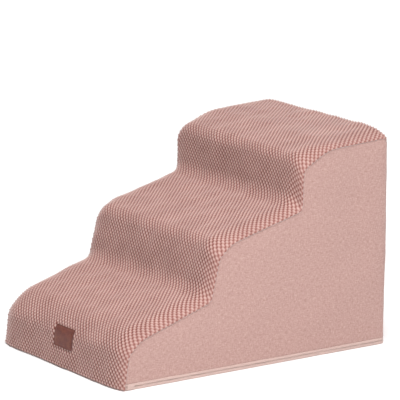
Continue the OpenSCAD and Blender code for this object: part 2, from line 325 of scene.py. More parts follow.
def half_width(y, inset=0):
    """Half the width at y, inside the rounded back corners."""
    r = edge_r - inset
    over = np.clip(y - (back_y - edge_r), 0, r)
    return half_w - inset - r + np.sqrt(r * r - over * over)


print("swelling at 97% and 80% of half the width",
      [round(swelling(share) / MM, 1) for share in (0.97, 0.8)], "mm")

# %% Places on the strip over the steps
foot_low = 0.15 * MM
# Towards the back edge the top slopes off over the wider back_crown_w. The change begins this far
# before the strip's end, and is complete this far before it.
back_fade = (130 * MM, 40 * MM)
# Numbers of the outline's points at the foot, mid-way in both creases, where the back edge's arc
# starts, and at the end.
anchors = [0, 1 + arc_points * 5 // 2, 1 + arc_points * 11 // 2, 1 + arc_points * 8, -1]
top_middle = outline(crown_h, knit_t, foot_low)


def points_at(distance, measured, lines):
    """Points of lines that go the same way, at distances along the one that is measured."""
    way = lengths(measured)
    segment = np.clip(np.searchsorted(way, distance, side="right") - 1, 0, len(way) - 2)
    step = np.maximum(way[segment + 1] - way[segment], 1e-9)
    share = ((distance - way[segment]) / step)[:, None]
    return [line[segment] * (1 - share) + line[segment + 1] * share for line in lines]


def one_column(crown, out, s):
    """A column's points in Y and Z at distances s of the middle column: on the seam's surface,
    and out of it."""
    top = outline(crown, knit_t, foot_low)
    at = np.interp(s, lengths(top_middle)[anchors], lengths(top)[anchors])
    low, high = points_at(at, top, [outline(crown, 0, foot_low), top])
    return low, low + (high - low) * out / knit_t


def over_steps(x, out, s):
    """Points over the steps. x says how far across each column lies, and out, for every row and
    column, how far out of the side seam's surface. The foot reaches down to just above the
    floor."""
    near_back = ease((s - s[-1] + back_fade[0]) / (back_fade[0] - back_fade[1]))[:, None]
    columns = []
    for j, across in enumerate(x):
        share = min(1, abs(across) / half_w)
        low, yz = one_column(swelling(share), out[:, j:j + 1], s)
        _, at_back = one_column(swelling(share, back_crown_w), out[:, j:j + 1], s)
        yz = yz + (at_back - yz) * near_back
        columns.append(np.c_[across * half_width(low[:, 0]) / half_w, yz])
    return np.stack(columns, axis=1)


print("way over the steps in the middle", round(lengths(top_middle)[-1] / MM), "mm")

# %% [markdown]
# The knitted strip is what everyone sees. It is a bobble knit: soft beads packed like bricks, each
# row shifted by half a bead, so that the eye finds slanting ridges both ways, and one way more
# than the other. A bump map would be lighter, but it leaves the silhouette smooth. At this size
# the beads are real relief: the strip is one fine grid of points, with four columns and three
# rows of points for each bead. Two crossing waves, one higher than the other, and a weaker third
# one along the strip make the beads' height, and the finish uses the same waves for its colour.

# %% Bobbles
bead_columns = 4
bead_rows = 3
bead_w = 8.8 * MM
bead_h = 4.0 * MM
ridge_shares = (0.62, 0.38)
row_wave = 0.45
# Below 1 the beads get broader and the pits narrower.
bead_power = 0.8
# The strip takes a whole number of rows of points, so a bead's own length comes out near this.
wished_bead_l = 5.1 * MM

strip_l = lengths(top_middle)[-1]
strip_s = np.linspace(0, strip_l, round(strip_l / (wished_bead_l / bead_rows)) + 1)
bead_l = strip_s[1] * bead_rows


def ripple(turns):
    """A wave between -1 and 1, once for each turn."""
    return np.cos(2 * np.pi * turns)


def beads(across, along):
    """Height of the knit, from 0 in a pit to 1 on a bead, at places counted in beads across and
    rows along."""
    one_way, other_way = ripple(across + along / 2), ripple(across - along / 2)
    ridges = ridge_shares[0] * one_way + ridge_shares[1] * other_way
    level = (2 * ridges + row_wave * ripple(along) + 2 - row_wave) / 4
    return np.clip(level, 0, 1) ** bead_power


print("strip", round(strip_l / MM), "mm long, with", round(strip_l / bead_l), "rows of beads of",
      round(bead_l / MM, 2), "mm")

# %% [markdown]
# The strip's side edges are rolled into the seam: the knit comes round past the panel's plane and
# tucks in behind it, which gives the thick soft edge that shows from the side. The front foot and
# the back end are tucked in too. Beside the seams the knit is pulled taut over the edge, so the
# bobbles are lower there.

# %% Rolled edges
roll_w = 4 * MM
roll_proud = 1.3 * MM
roll_turn = math.radians(142)
tuck_l = 4 * MM


def knit_columns():
    """Places across the strip: distance on the cloth, and how far each lies across and out at
    the rolled edge."""
    flat = half_w + roll_proud - roll_w
    rolled = roll_turn * (roll_w + knit_t) / 2
    count = 2 * round((flat + rolled) / (bead_w / bead_columns)) + 1
    u = np.linspace(-flat - rolled, flat + rolled, count)
    turn = roll_turn * np.clip((np.abs(u) - flat) / rolled, 0, 1)
    x = np.sign(u) * (np.minimum(np.abs(u), flat) + roll_w * np.sin(turn))
    return u, x, knit_t * np.cos(turn)


knit_u, knit_x, knit_out = knit_columns()
bead_cloth_w = bead_columns * (knit_u[1] - knit_u[0])
print("columns of points", len(knit_u), "on", round((knit_u[-1] - knit_u[0]) / MM), "mm of cloth")

# %% [markdown]
# The patch is sewn on tight and presses the bobbles flat under it and just round it. A knife cut
# in the mesh isn't needed for that: a place is simply pressed as far as it lies inside the patch.

# %% Where the patch presses on the knit
label_w = 60 * MM
label_h = 38 * MM
label_x = 7 * MM
label_z = 37 * MM
press_margin = 2 * MM
press_fade = 4 * MM


def label_press(x, z):
    """1 where the patch presses on the knit, 0 away from it."""
    over_x = (label_w / 2 + press_margin - np.abs(x - label_x)) / press_fade
    over_z = (label_h / 2 + press_margin - np.abs(z - label_z - label_h / 2)) / press_fade
    return ease(1 + np.minimum(over_x, over_z))


print("pressed at the patch's middle and corner",
      label_press(label_x, label_z + label_h / 2), label_press(label_x + label_w / 2, label_z))

# %% The strip's outer surface
taut_w = 45 * MM
taut = 0.7
press_depth = 0.6 * MM
# Seed, height and length of the unevenness, and how far it may go in and out.
knit_waves = ((5, 0.8 * MM, 90 * MM), (8, 0.4 * MM, 38 * MM))
uneven_range = (-0.8 * MM, 1.5 * MM)
# Relief and unevenness fade in over these widths beside a rolled edge, and at a tucked end.
relief_in = roll_w / 1.5
uneven_in = 4 * roll_w
relief_end_share = 1.3


def knit_surface():
    """The strip's outer points, and the place of each on the cloth."""
    ends = np.clip(np.minimum(strip_s, strip_s[-1] - strip_s) / tuck_l, 0, 1)[:, None]
    grid = over_steps(knit_x, knit_out * np.sqrt(1 - (1 - ends) ** 2), strip_s)
    u, s = np.meshgrid(knit_u, strip_s)
    height = beads(u / bead_cloth_w, s / bead_l)
    margin = knit_u[-1] - np.abs(u)
    pressed = label_press(grid[..., 0], grid[..., 2]) * (s < step_depth)
    slack = taut + (1 - taut) * ease(margin / taut_w)
    relief = (height - 0.5) * bead_h * slack * (1 - pressed) - press_depth * pressed
    uneven = sum(wave_h * soft_noise(u, s, seed, size) for seed, wave_h, size in knit_waves)
    uneven = np.clip(uneven * ease(margin / uneven_in) * ends * (1 - pressed), *uneven_range)
    out = relief * ease(margin / relief_in) * ease(ends * relief_end_share) + uneven
    return grid + grid_normals(grid) * out[..., None], np.stack([u, s], axis=2)


knit_top, knit_cloth = knit_surface()
print("knit reaches up to", round(knit_top[..., 2].max() / MM, 1), "mm")

# %% [markdown]
# Inside, the strip needs no bobbles. A Solidify modifier would copy them there, so the back is
# made as a coarse grid, which saves a third of the faces. It is joined to the fine grid's border
# by faces with many corners.

# %% The strip's coarse back
under_step = 6


def every(count, step):
    """Numbers from 0 to count - 1 in steps, with the last one always in."""
    return sorted(set(range(0, count, step)) | {count - 1})


def coarse_back(rows, columns, points, back):
    """Faces of a coarse back whose border is the fine grid's own border. back(i, j) gives an
    inner point."""
    at_row, at_column = every(rows, under_step), every(columns, under_step)
    last_a, last_b = len(at_row) - 1, len(at_column) - 1
    number = {(a, b): at_row[a] * columns + at_column[b]
              for a in range(last_a + 1) for b in range(last_b + 1)}
    for a in range(1, last_a):
        for b in range(1, last_b):
            number[a, b] = len(points)
            points.append(back(at_row[a], at_column[b]))
    faces = []
    for a in range(last_a):
        for b in range(last_b):
            i, i_end, j, j_end = at_row[a], at_row[a + 1], at_column[b], at_column[b + 1]
            left = [k * columns for k in range(i + 1, i_end)] * (b == 0)
            far = [(rows - 1) * columns + k for k in range(j + 1, j_end)] * (a == last_a - 1)
            right = [(k + 1) * columns - 1 for k in range(i_end - 1, i, -1)] * (b == last_b - 1)
            near = list(range(j_end - 1, j, -1)) * (a == 0)
            faces.append([number[a, b], *left, number[a + 1, b], *far, number[a + 1, b + 1],
                          *right, number[a, b + 1], *near])
    return faces


print("rows of points on the back", len(every(len(strip_s), under_step)))

# %% Knitted strip


def knit_strip():
    """The bobble knit strip as one closed shell, and the size that it was cut to."""
    rows, columns = knit_top.shape[:2]
    points = list(knit_top.reshape(-1, 3))
    inner = over_steps(np.clip(knit_x, -half_w, half_w), np.zeros((rows, columns)), strip_s)
    faces = grid_faces(rows, columns)
    faces += coarse_back(rows, columns, points, lambda i, j: inner[i, j])
    uv = np.zeros((len(points), 2))
    uv[:rows * columns] = knit_cloth.reshape(-1, 2)
    return make_mesh("knit_cover", points, faces, uv), (knit_u[-1] - knit_u[0], strip_s[-1])


knit_cover, knit_flat = knit_strip()
triangles = sum(len(face.vertices) - 2 for face in knit_cover.data.polygons)
print("knit strip cut", [round(v / MM) for v in knit_flat], "mm,", triangles, "triangles")

# %% [markdown]
# The side panels, the back panel, the base cloth and the patch are flat cuts of cloth with an
# edge that is turned in at a seam. Cloth simulation suits loose cloth, but this cloth is sewn
# tight over foam, so its form is known. One helper makes every cut. It draws the cut's border, a
# few rings inside it for the turned edge, and a grid of points in the middle, lets Blender join
# them into triangles, and then puts every point in place, so the same cut can lie flat or go
# round a corner.

# %% Rings of a flat cut


def resampled(corners, spacing):
    """A closed border with points about spacing apart, that keeps its corners."""
    points = []
    for p, q in zip(corners, np.roll(corners, -1, axis=0)):
        count = max(1, round(np.linalg.norm(q - p) / spacing))
        points.append(p + (q - p) * (np.arange(count) / count)[:, None])
    return np.vstack(points)


def inset_ring(points, d):
    """A ring moved inwards by d from a border that runs anticlockwise."""
    step = np.roll(points, -1, axis=0) - points
    step /= np.linalg.norm(step, axis=1, keepdims=True)
    inward = np.c_[-step[:, 1], step[:, 0]]
    before = np.roll(inward, 1, axis=0)
    return points + d * (inward + before) / (1 + (inward * before).sum(axis=1, keepdims=True))


def inside(points, ring):
    """Which points lie in a ring."""
    x, y = points.T
    result = np.zeros(len(points), bool)
    for (x1, y1), (x2, y2) in zip(ring, np.roll(ring, -1, axis=0)):
        if y1 != y2:
            result ^= ((y1 > y) != (y2 > y)) & (x < (x2 - x1) * (y - y1) / (y2 - y1) + x1)
    return result


unit_square = np.array([(0, 0), (1, 0), (1, 1), (0, 1)], float)
print("ring 0.1 inside a unit square", inset_ring(unit_square, 0.1).round(1).tolist())

# %% Triangles of a flat cut
# The grid's points keep this share of their spacing away from the innermost ring.
middle_gap_share = 0.55
# What delaunay_2d_cdt takes for "only the triangles inside the border", and when points are one.
inside_only = 1
same_point = 1e-7


def flat_cut(corners, rings, edge_spacing, middle_spacing):
    """Points and triangles of a flat cut, and each point's distance from the border."""
    edge = resampled(np.asarray(corners), edge_spacing)
    loops = [edge] + [inset_ring(edge, d) for d in rings]
    low, high = edge.min(axis=0), edge.max(axis=0)
    counts = np.maximum(2, np.round((high - low) / middle_spacing).astype(int))
    gx, gy = np.meshgrid(*[np.linspace(a, b, n + 1) for a, b, n in zip(low, high, counts)])
    middle = np.c_[gx.ravel(), gy.ravel()]
    middle = middle[inside(middle, inset_ring(edge, rings[-1] + middle_spacing * middle_gap_share))]
    given = np.vstack(loops + [middle])
    loop_edges = []
    for k in range(len(loops)):
        numbers = np.arange(len(edge)) + k * len(edge)
        loop_edges += np.c_[numbers, np.roll(numbers, -1)].tolist()
    found = geometry.delaunay_2d_cdt([Vector(p) for p in given], loop_edges, [], inside_only,
                                      same_point)
    tree = kdtree.KDTree(len(edge))
    for k, (x, y) in enumerate(edge):
        tree.insert((x, y, 0), k)
    tree.balance()
    ring_distance = np.repeat([0] + rings, len(edge))
    points, distance = [], []
    for spot, origin in zip(found[0], found[3]):
        points.append(given[origin[0]] if origin else np.array(spot[:]))
        on_ring = origin and origin[0] < len(ring_distance)
        to_edge = ring_distance[origin[0]] if on_ring else tree.find((*points[-1], 0))[2]
        distance.append(to_edge)
    return np.array(points), [list(face) for face in found[2]], np.array(distance)


print("a unit square is cut into", len(flat_cut(unit_square, [0.1], 0.5, 0.5)[1]), "triangles")

# %% Cloth pieces


def cloth_cut(name, corners, place, thickness, rings, edge_spacing, middle_spacing):
    """A closed cloth piece, its flat size and its area. place(points, distance, back) gives the
    points in space of one side of the cloth."""
    points, faces, distance = flat_cut(corners, rings, edge_spacing, middle_spacing)
    count = len(points)
    sides = {(a, b) for face in faces for a, b in zip(face, face[1:] + face[:1])}
    rim = [(a, b) for face in faces for a, b in zip(face, face[1:] + face[:1])
           if (b, a) not in sides]
    both = faces + [[v + count for v in face[::-1]] for face in faces]
    both += [[b, a, a + count, b + count] for a, b in rim]
    spots = np.vstack([place(points, distance, 0), place(points, distance, thickness)])
    piece = make_mesh(name, spots, both, np.vstack([points] * 2))
    a, b, c = (points[[face[k] for face in faces]] for k in range(3))
    p, q = b - a, c - a
    area = np.abs(p[:, 0] * q[:, 1] - p[:, 1] * q[:, 0]).sum() / 2
    size = points.max(axis=0) - points.min(axis=0)
    print(name, "cut", [round(v / MM) for v in size], "mm,", len(both), "faces")
    return piece, tuple(size), area


def turned_edge(distance, roll, depth):
    """How far in the cloth lies at a distance from a seam where its edge is turned in."""
    return -depth * (1 - np.sqrt(1 - (1 - np.clip(distance / roll, 0, 1)) ** 2))


print("a turned edge dips by", round(turned_edge(0, 4 * MM, 2 * MM) / MM, 2), "mm at the seam")

# %% [markdown]
# The panels stand on one path round the stairs: along the left side, round the back corner, across
# the back and forward again on the right. A place there is told by how far round it lies from the
# middle of the back, how high, and how far out.

# %% Places round the sides and the back
to_arc = half_w - edge_r
to_side = to_arc + edge_r * math.pi / 2
mitre = to_arc + edge_r * math.pi / 4


def around(a, z, out):
    """Points round the stairs. a is the way from the middle of the back, towards the left side
    (-X)."""
    m = np.abs(a)
    turn = np.clip((m - to_arc) / edge_r, 0, math.pi / 2)
    x = np.minimum(m, to_arc) + (edge_r + out) * np.sin(turn)
    y = back_y - edge_r + (edge_r + out) * np.cos(turn) - np.maximum(m - to_side, 0)
    return np.stack([-np.sign(a) * x, y, z + 0 * m], axis=-1)


def way_round(y):
    """How far round the side a place at y lies, from the middle of the back."""
    if y < back_y - edge_r:
        return to_side + back_y - edge_r - y
    return to_arc + edge_r * math.acos(min(1, (y - back_y + edge_r) / edge_r))


print("half way round, from the back's middle to the front:", round(way_round(front_y) / MM), "mm")

# %% [markdown]
# A sewn panel isn't flat. It dips into its seams, less so at the zip, and gathers in small
# puckers beside the thread. The foam pushes it out in the middle, and most beside the upright
# back corners.

# %% Form of a panel
tape_top = 11.7 * MM
panel_low = tape_top - 0.5 * MM
panel_edge_w = 4 * MM
seam_dip, zip_dip, zip_near = 2.2 * MM, 0.8 * MM, 8 * MM
bulge, uneven_h, uneven_l = 1.2 * MM, 0.8 * MM, 120 * MM
bulge_from, bulge_in = 2 * MM, 40 * MM
pucker_h, pucker_l, pucker_w = 0.35 * MM, 13 * MM, 16 * MM
# How far the puckers wander, in radians, and how fast, in radians a metre: upwards and round.
wander_up, wander_round = (3, 40), (2, 31)
fuller, fuller_near, fuller_w = 2.6 * MM, 10 * MM, 70 * MM
fuller_from, fuller_in, fuller_top = 40 * MM, 160 * MM, 14 * MM


def corner_fullness(a, z):
    """How far the foam pushes the cloth out beside an upright back corner."""
    high = ease((z - fuller_from) / fuller_in) * ease((seam_h - z) / fuller_top)
    return high * fuller * (1 - ease((np.abs(np.abs(a) - mitre) - fuller_near) / fuller_w))


def puckers(a, z, distance):
    """Small gathers beside a seam, that wander a little and fade out away from it."""
    wander = sum(far * np.sin(at * fast) for at, (far, fast) in ((z, wander_up), (a, wander_round)))
    gathers = pucker_h * np.sin(a * 2 * np.pi / pucker_l + wander)
    return gathers * ease(distance / panel_edge_w) * (1 - ease(distance / pucker_w))


def panel_place(seed):
    """How a panel's points are put round the stairs, with its own unevenness."""
    def place(points, distance, back):
        a, z = points.T
        at_zip = 1 - ease((z - panel_low) / zip_near)
        dip = seam_dip * (1 - at_zip) + zip_dip * at_zip
        away = ease((distance - bulge_from) / bulge_in)
        soft = (bulge + uneven_h * soft_noise(a, z, seed, uneven_l)) * away
        out = turned_edge(distance, panel_edge_w, 1) * dip + soft + corner_fullness(a, z)
        return around(a, z, out + puckers(a, z, distance) - back)
    return place


print("fullest beside the back corner", round(corner_fullness(mitre, seam_h / 2) / MM, 1), "mm")

# %% Side and back panels
panel_rings = [0.3 * MM, 0.8 * MM, 1.6 * MM, 2.7 * MM, 4 * MM]
under_knit = 0.2 * MM

profile = outline(0, -under_knit, panel_low)
side_line = np.array([(way_round(y), z) for y, z in profile])
mitre_z = np.interp(-mitre, -side_line[:, 0], side_line[:, 1])
on_side = side_line[side_line[:, 0] > mitre + seat_gap]
left_corners = np.vstack([[(mitre, panel_low)], on_side, [(mitre, mitre_z)]])
turn_z = seam_h - back_turn_h
ear = side_line[(side_line[:, 0] < mitre - seat_gap) & (side_line[:, 1] > turn_z)]
half_back = np.vstack([[(mitre, panel_low), (mitre, mitre_z)], ear[ear[:, 0] > to_arc],
                       [(to_arc, ear[-1, 1])], [(to_arc, turn_z)]])
cuts = {
    "left_panel": (left_corners, 21),
    "right_panel": ((left_corners * [-1, 1])[::-1], 33),
    "rear_panel": (np.vstack([half_back, (half_back * [-1, 1])[::-1]]), 45),
}
panels = {
    name: cloth_cut(name, corners, panel_place(seed), panel_t, panel_rings,
                    edge_spacing=3 * MM, middle_spacing=9 * MM)
    for name, (corners, seed) in cuts.items()
}

# %% [markdown]
# Round the foot of the sides and the back runs a zip, so that the cover comes off for the wash.
# From outside it is two woven tapes, one above the other, with the nylon coil just behind the
# gap. A flat ribbon would do from afar, but a tape's ribs and rolled edges catch the light. So
# each tape is a long grid, with a few points across and one row every few millimetres along.

# %% Zip tapes
tape_w = 5.05 * MM
tape_t = 0.8 * MM
tape_back = tape_t - 0.2 * MM
tape_low = {"lower_tape": 0.5 * MM, "upper_tape": tape_top - tape_w}
tape_end_y = front_y + foot_shares[0][0] * step_depth + knit_t
tape_reach = way_round(tape_end_y)
tape_across = np.array([0, 0.03, 0.09, 0.2, 0.3, 0.4, 0.5, 0.6, 0.7, 0.8, 0.91, 0.97, 1])
tape_row = 3 * MM
rib_count, rib_h = 3, 0.13 * MM
tape_edge_share, tape_edge_h = 0.09, 0.3 * MM
# Height and length of the tape's waves, and how it goes in under the panel.
tape_waves = ((0.25 * MM, 60 * MM), (0.12 * MM, 14 * MM))
tuck_h, tuck_low, tuck_in = 0.6 * MM, 0.6 * MM, 0.7 * MM


def tape(name, seed):
    """One woven tape round the foot."""
    a = np.linspace(-tape_reach, tape_reach, round(2 * tape_reach / tape_row) + 1)
    aa, share = np.meshgrid(a, tape_across, indexing="ij")
    rib = rib_h * ripple(share * rib_count)
    edge = turned_edge(np.minimum(share, 1 - share), tape_edge_share, tape_edge_h)
    wave = sum(wave_h * soft_noise(aa, 0 * aa, seed + k, wave_l)
               for k, (wave_h, wave_l) in enumerate(tape_waves))
    z = tape_low[name] + share * tape_w
    wave = wave - tuck_h * ease((z - panel_low + tuck_low) / tuck_in)
    outer = around(aa, z, rib + edge + wave)
    inner = around(aa, z, wave - tape_back)
    piece = closed_grid(name, outer, inner, np.stack([aa, z], axis=2))
    print(name, "cut", [round(tape_w / MM, 1), round(2 * tape_reach / MM)], "mm")
    return piece


tapes = {name: tape(name, seed) for name, seed in (("lower_tape", 3), ("upper_tape", 9))}

# %% [markdown]
# The zip's teeth are a nylon thread wound into a flat coil and sewn behind each tape. A Screw
# modifier winds a straight coil, but this one goes round corners. So each coil is a real helix
# along the tape's path, drawn as a curve with a round section and then turned into a mesh. Its
# turns reach a little past the tape's edge, so they show in the gap. The slider's way is a whole
# number of turns, so the turns lie in it alike at both ends of its way.

# %% Path of a coil
slide_way = 513 * MM
slide_turns = 214
coil_pitch = slide_way / slide_turns
coil_thread_r = 0.33 * MM
coil_points = 8
coil_from_end = 25.6 * MM
coil_depth = (-2.1 * MM, -0.7 * MM)
coil_height = (-0.2 * MM, 2.2 * MM)
coil_lean = 0.5 * MM
zip_mid = (tape_low["lower_tape"] + tape_w + tape_low["upper_tape"]) / 2


def swing(span, wave):
    """A thread's middle as it swings between the two sides of a span."""
    return sum(span) / 2 + ((span[1] - span[0]) / 2 - coil_thread_r) * wave


def coil_path(side):
    """Points of the coil above the gap (side 1) or below it (side -1)."""
    reach = way_round(tape_end_y + coil_from_end)
    turns = int(2 * reach / coil_pitch)
    phase = np.arange(turns * coil_points + 1) / coil_points
    a = reach + (phase - turns - (side > 0) / 2) * coil_pitch
    up = np.sin(2 * np.pi * phase)
    out = swing(coil_depth, np.cos(2 * np.pi * phase)) - coil_lean * up
    return around(a, zip_mid + side * swing(coil_height, up), out)


print("a turn of the coil every", round(coil_pitch / MM, 2), "mm")

# %% Coils
merge_distance = 0.001 * MM


def merge_doubles(work):
    """Merge points that lie on each other."""
    bmesh.ops.remove_doubles(work, verts=work.verts, dist=merge_distance)


def coil(name, side):
    """One coil, from a curve with a round section."""
    curve = bpy.data.curves.new(name, "CURVE")
    curve.dimensions = "3D"
    curve.bevel_depth = coil_thread_r
    curve.bevel_resolution = 0
    curve.use_fill_caps = True
    line = curve.splines.new("POLY")
    points = coil_path(side)
    line.points.add(len(points) - 1)
    line.points.foreach_set("co", np.c_[points, np.ones(len(points))].ravel())
    piece = link(bpy.data.objects.new(name, curve))
    only(piece)
    bpy.ops.object.convert(target="MESH")
    work = bmesh.new()
    work.from_mesh(piece.data)
    merge_doubles(work)
    work.to_mesh(piece.data)
    work.free()
    piece.data.polygons.foreach_set("use_smooth", [True] * len(piece.data.polygons))
    print(name, (len(points) - 1) // coil_points, "turns,", len(piece.data.polygons), "faces")
    return piece


coils = {name: coil(name, side) for name, side in (("lower_coil", -1), ("upper_coil", 1))}

# %% [markdown]
# The slider and its pull are painted zinc castings. Their shapes in the CAD model are right, so
# nothing is modelled again. They are copied, their loose triangles merged, flat faces joined, and
# the sharp edges rounded with a bevel, as a casting has no sharp edge. The foam blocks get the
# same with a wider bevel. A CAD node's own mesh is never changed.

# %% Copies of CAD parts
flat_angle = math.radians(1)
bevel_angle = math.radians(30)
smooth_angle = math.radians(35)


def bevelled_copy(name, node, width):
    """A merged copy of a CAD node with rounded edges."""
    piece = link(bpy.data.objects.new(name, nodes[node].data.copy()))
    piece.data.materials.clear()
    work = bmesh.new()
    work.from_mesh(piece.data)
    merge_doubles(work)
    bmesh.ops.dissolve_limit(work, angle_limit=flat_angle, verts=work.verts, edges=work.edges)
    bmesh.ops.recalc_face_normals(work, faces=work.faces)
    work.to_mesh(piece.data)
    work.free()
    only(piece)
    bevel = piece.modifiers.new("rounding", "BEVEL")
    bevel.width = width
    bevel.segments = 2
    bevel.limit_method = "ANGLE"
    bevel.angle_limit = bevel_angle
    bpy.ops.object.modifier_apply(modifier=bevel.name)
    bpy.ops.object.shade_smooth_by_angle(angle=smooth_angle)
    print(name, len(piece.data.polygons), "faces")
    return piece


slider = bevelled_copy("painted_slider", "zip_slider", width=0.18 * MM)
pull = bevelled_copy("painted_pull", "zip_pull", width=0.2 * MM)
blocks = {
    level: bevelled_copy(f"{level}_foam", f"{level}_foam_block", width=1.5 * MM)
    for level in ("lower", "middle", "upper")
}

# %% [markdown]
# The comfort layer is one soft slab bent over all the steps, thickest in the middle, so it is a
# closed grid between the swollen outline and the blocks. It never shows, but it is foam with the
# form it really has.

# %% Comfort layer
comfort_t = 22 * MM
comfort_columns = 41
comfort_gap = 1.5 * MM
foam_inset = panel_t + seat_gap
core_inset = comfort_t + 2 * seat_gap
foam_low = 2.8 * MM


def comfort_foam():
    """The comfort layer, between the swollen outline and the foam blocks."""
    end_y = back_y - foam_inset
    bottom = outline(0, -core_inset + seat_gap, foam_low, open_y=end_y)
    shares = np.linspace(-1, 1, comfort_columns)
    outer, inner = [], []
    for share in shares:
        top = outline(swelling(share), -comfort_gap, foam_low, end_y)[:-1]
        for side, line in ((outer, top), (inner, bottom)):
            side.append(np.c_[share * half_width(line[:, 0], foam_inset), line])
    uv = np.stack(np.meshgrid(shares * half_w, lengths(bottom)), axis=2)
    return closed_grid("comfort_foam", np.stack(outer, axis=1), np.stack(inner, axis=1), uv)


comfort = comfort_foam()
print("comfort layer", len(comfort.data.polygons), "faces")

# %% [markdown]
# Under the stairs lies an anti-slip cloth with moulded rubber dots. The cloth is one more flat
# cut, with the curved front edge of the swollen foot.

# %% Base cloth
base_t = 1.5 * MM
base_inset = tape_t + seat_gap
base_rings = [0.4 * MM, 0.9 * MM, 1.6 * MM]
base_columns = 41
corner_points = 9
base_edge_w, base_edge_h = 1.5 * MM, 0.5 * MM
base_uneven_in = 10 * MM
# The base, the patch and the tabs lie nearly flat, and are uneven by this much.
slight_h = 0.15 * MM
# The cloth is drawn at this share of its thickness, so that it stays clear of the foam.
base_share = 0.8


def base_border():
    """The base's cut: the curved front edge, straight sides and round back corners."""
    front = [(share * (half_w - base_inset),
              seam_corners(swelling(share), floor_gap, back_y)[0][0] + seat_gap)
             for share in np.linspace(-1, 1, base_columns)]
    r = edge_r - base_inset
    turn = np.linspace(0, math.pi / 2, corner_points)
    corner = np.c_[half_w - edge_r + r * np.cos(turn), back_y - edge_r + r * np.sin(turn)]
    return np.vstack([front, corner, (corner * [-1, 1])[::-1]])


def base_place(points, distance, back):
    """The base's points, flat under the stairs."""
    x, y = points.T
    edge = turned_edge(distance, base_edge_w, base_edge_h)
    soft = slight_h * soft_noise(x, y, seed=77, size=60 * MM) * ease(distance / base_uneven_in)
    return np.c_[x, y, floor_gap - edge - soft + back * base_share]


base_cloth, base_flat, base_area = cloth_cut(
    "base_cloth", base_border(), base_place, base_t, base_rings,
    edge_spacing=5 * MM, middle_spacing=14 * MM)

# %% [markdown]
# A rubber dot is modelled once, as by hand: a low cylinder whose lower rim is bevelled to a dome.
# Two arrays then copy it in rows and columns. The cylinder stands on the floor, and the stairs
# stand on the dots.

# %% Rubber dots
dot_r = 4 * MM
dot_top = 1.7 * MM
dot_bevel = 0.9 * MM
dot_sides = 24
dot_smooth_angle = math.radians(50)
dot_pitch = 45 * MM
dot_columns = 9
dot_rows = 13

bpy.ops.object.select_all(action="DESELECT")
bpy.ops.mesh.primitive_cylinder_add(vertices=dot_sides, radius=dot_r, depth=dot_top,
                                    location=(0, 0, dot_top / 2))
dots = bpy.context.active_object
dots.name = "grip_dots"
bpy.ops.object.mode_set(mode="EDIT")
bpy.ops.mesh.select_all(action="DESELECT")
bpy.ops.object.mode_set(mode="OBJECT")
for edge in dots.data.edges:
    edge.select = all(dots.data.vertices[v].co.z < 0 for v in edge.vertices)
bpy.ops.object.mode_set(mode="EDIT")
bpy.ops.mesh.select_mode(type="EDGE")
bpy.ops.mesh.bevel(offset=dot_bevel, segments=3)
bpy.ops.object.mode_set(mode="OBJECT")
bpy.ops.object.transform_apply(location=True, rotation=True, scale=True)
for axis, count in enumerate((dot_columns, dot_rows)):
    array = dots.modifiers.new("array", "ARRAY")
    array.count = count
    array.use_relative_offset = False
    array.use_constant_offset = True
    array.constant_offset_displace = [dot_pitch if k == axis else 0 for k in range(3)]
    bpy.ops.object.modifier_apply(modifier=array.name)
for vertex in dots.data.vertices:
    vertex.co.x -= dot_pitch * (dot_columns - 1) / 2
    vertex.co.y -= dot_pitch * (dot_rows - 1) / 2
bpy.ops.object.shade_smooth_by_angle(angle=dot_smooth_angle)
print("dots", dot_columns * dot_rows, "with", len(dots.data.polygons), "faces")

# %% [markdown]
# A small leather-like patch is sewn to the first riser. It is left bare. It is cut with round
# corners and bent over the knit by finding each point's place on the strip, which keeps its real
# size where a projection would stretch it. Its face has a plain pressed line near the edge.

# %% Places on the first riser
riser = outline(crown_h, knit_t)
riser_s = lengths(riser)
up_riser = slice(anchors[1] - 1)
label_low, label_high = np.interp([label_z, label_z + label_h], riser[up_riser, 1],
                                  riser_s[up_riser])
label_l = label_high - label_low


def on_strip(x, s, out):
    """Points on the strip's middle at x across and s along, out from its top surface."""
    here, ahead = (np.c_[np.interp(at, riser_s, riser[:, 0]), np.interp(at, riser_s, riser[:, 1])]
                   for at in (s, s + 1 * MM))
    along = ahead - here
    along /= np.linalg.norm(along, axis=1, keepdims=True)
    return np.c_[x, here[:, 0] - along[:, 1] * out, here[:, 1] + along[:, 0] * out]


print("the patch is", round(label_l / MM, 1), "mm long on the riser")

# %% Patch
label_t = 1.1 * MM
label_gap = 0.2 * MM
label_r = 3 * MM
label_corner_points = 7
label_rings = [0.15 * MM, 0.4 * MM, 0.8 * MM, 2.2 * MM, 2.6 * MM, 3.1 * MM, 3.5 * MM]
label_edge_w, label_edge_h = 0.8 * MM, 0.45 * MM
groove_in, groove_half_w, groove_h = 2.85 * MM, 0.4 * MM, 0.3 * MM


def label_place(points, distance, back):
    """The patch's points on the riser."""
    x, s = points.T
    edge = turned_edge(distance, label_edge_w, label_edge_h)
    groove = groove_h * (np.abs(distance - groove_in) < groove_half_w) * (back == 0)
    soft = slight_h * soft_noise(x, s, seed=4, size=30 * MM)
    return on_strip(x + label_x, s, label_t + label_gap + edge + soft - groove - back)


def round_rectangle(w, h, r, low):
    """Corners of a rounded rectangle, w wide and from low up by h."""
    turn = np.linspace(0, math.pi / 2, label_corner_points)
    right, top, bottom = w / 2 - r, low + h - r, low + r
    middles = ((right, top), (-right, top), (-right, bottom), (right, bottom))
    return np.vstack([
        np.c_[x + r * np.cos(turn + k * math.pi / 2), y + r * np.sin(turn + k * math.pi / 2)]
        for k, (x, y) in enumerate(middles)])


label, label_flat, label_area = cloth_cut(
    "bare_patch", round_rectangle(label_w, label_l, label_r, label_low), label_place, label_t,
    label_rings, edge_spacing=1.5 * MM, middle_spacing=3 * MM)

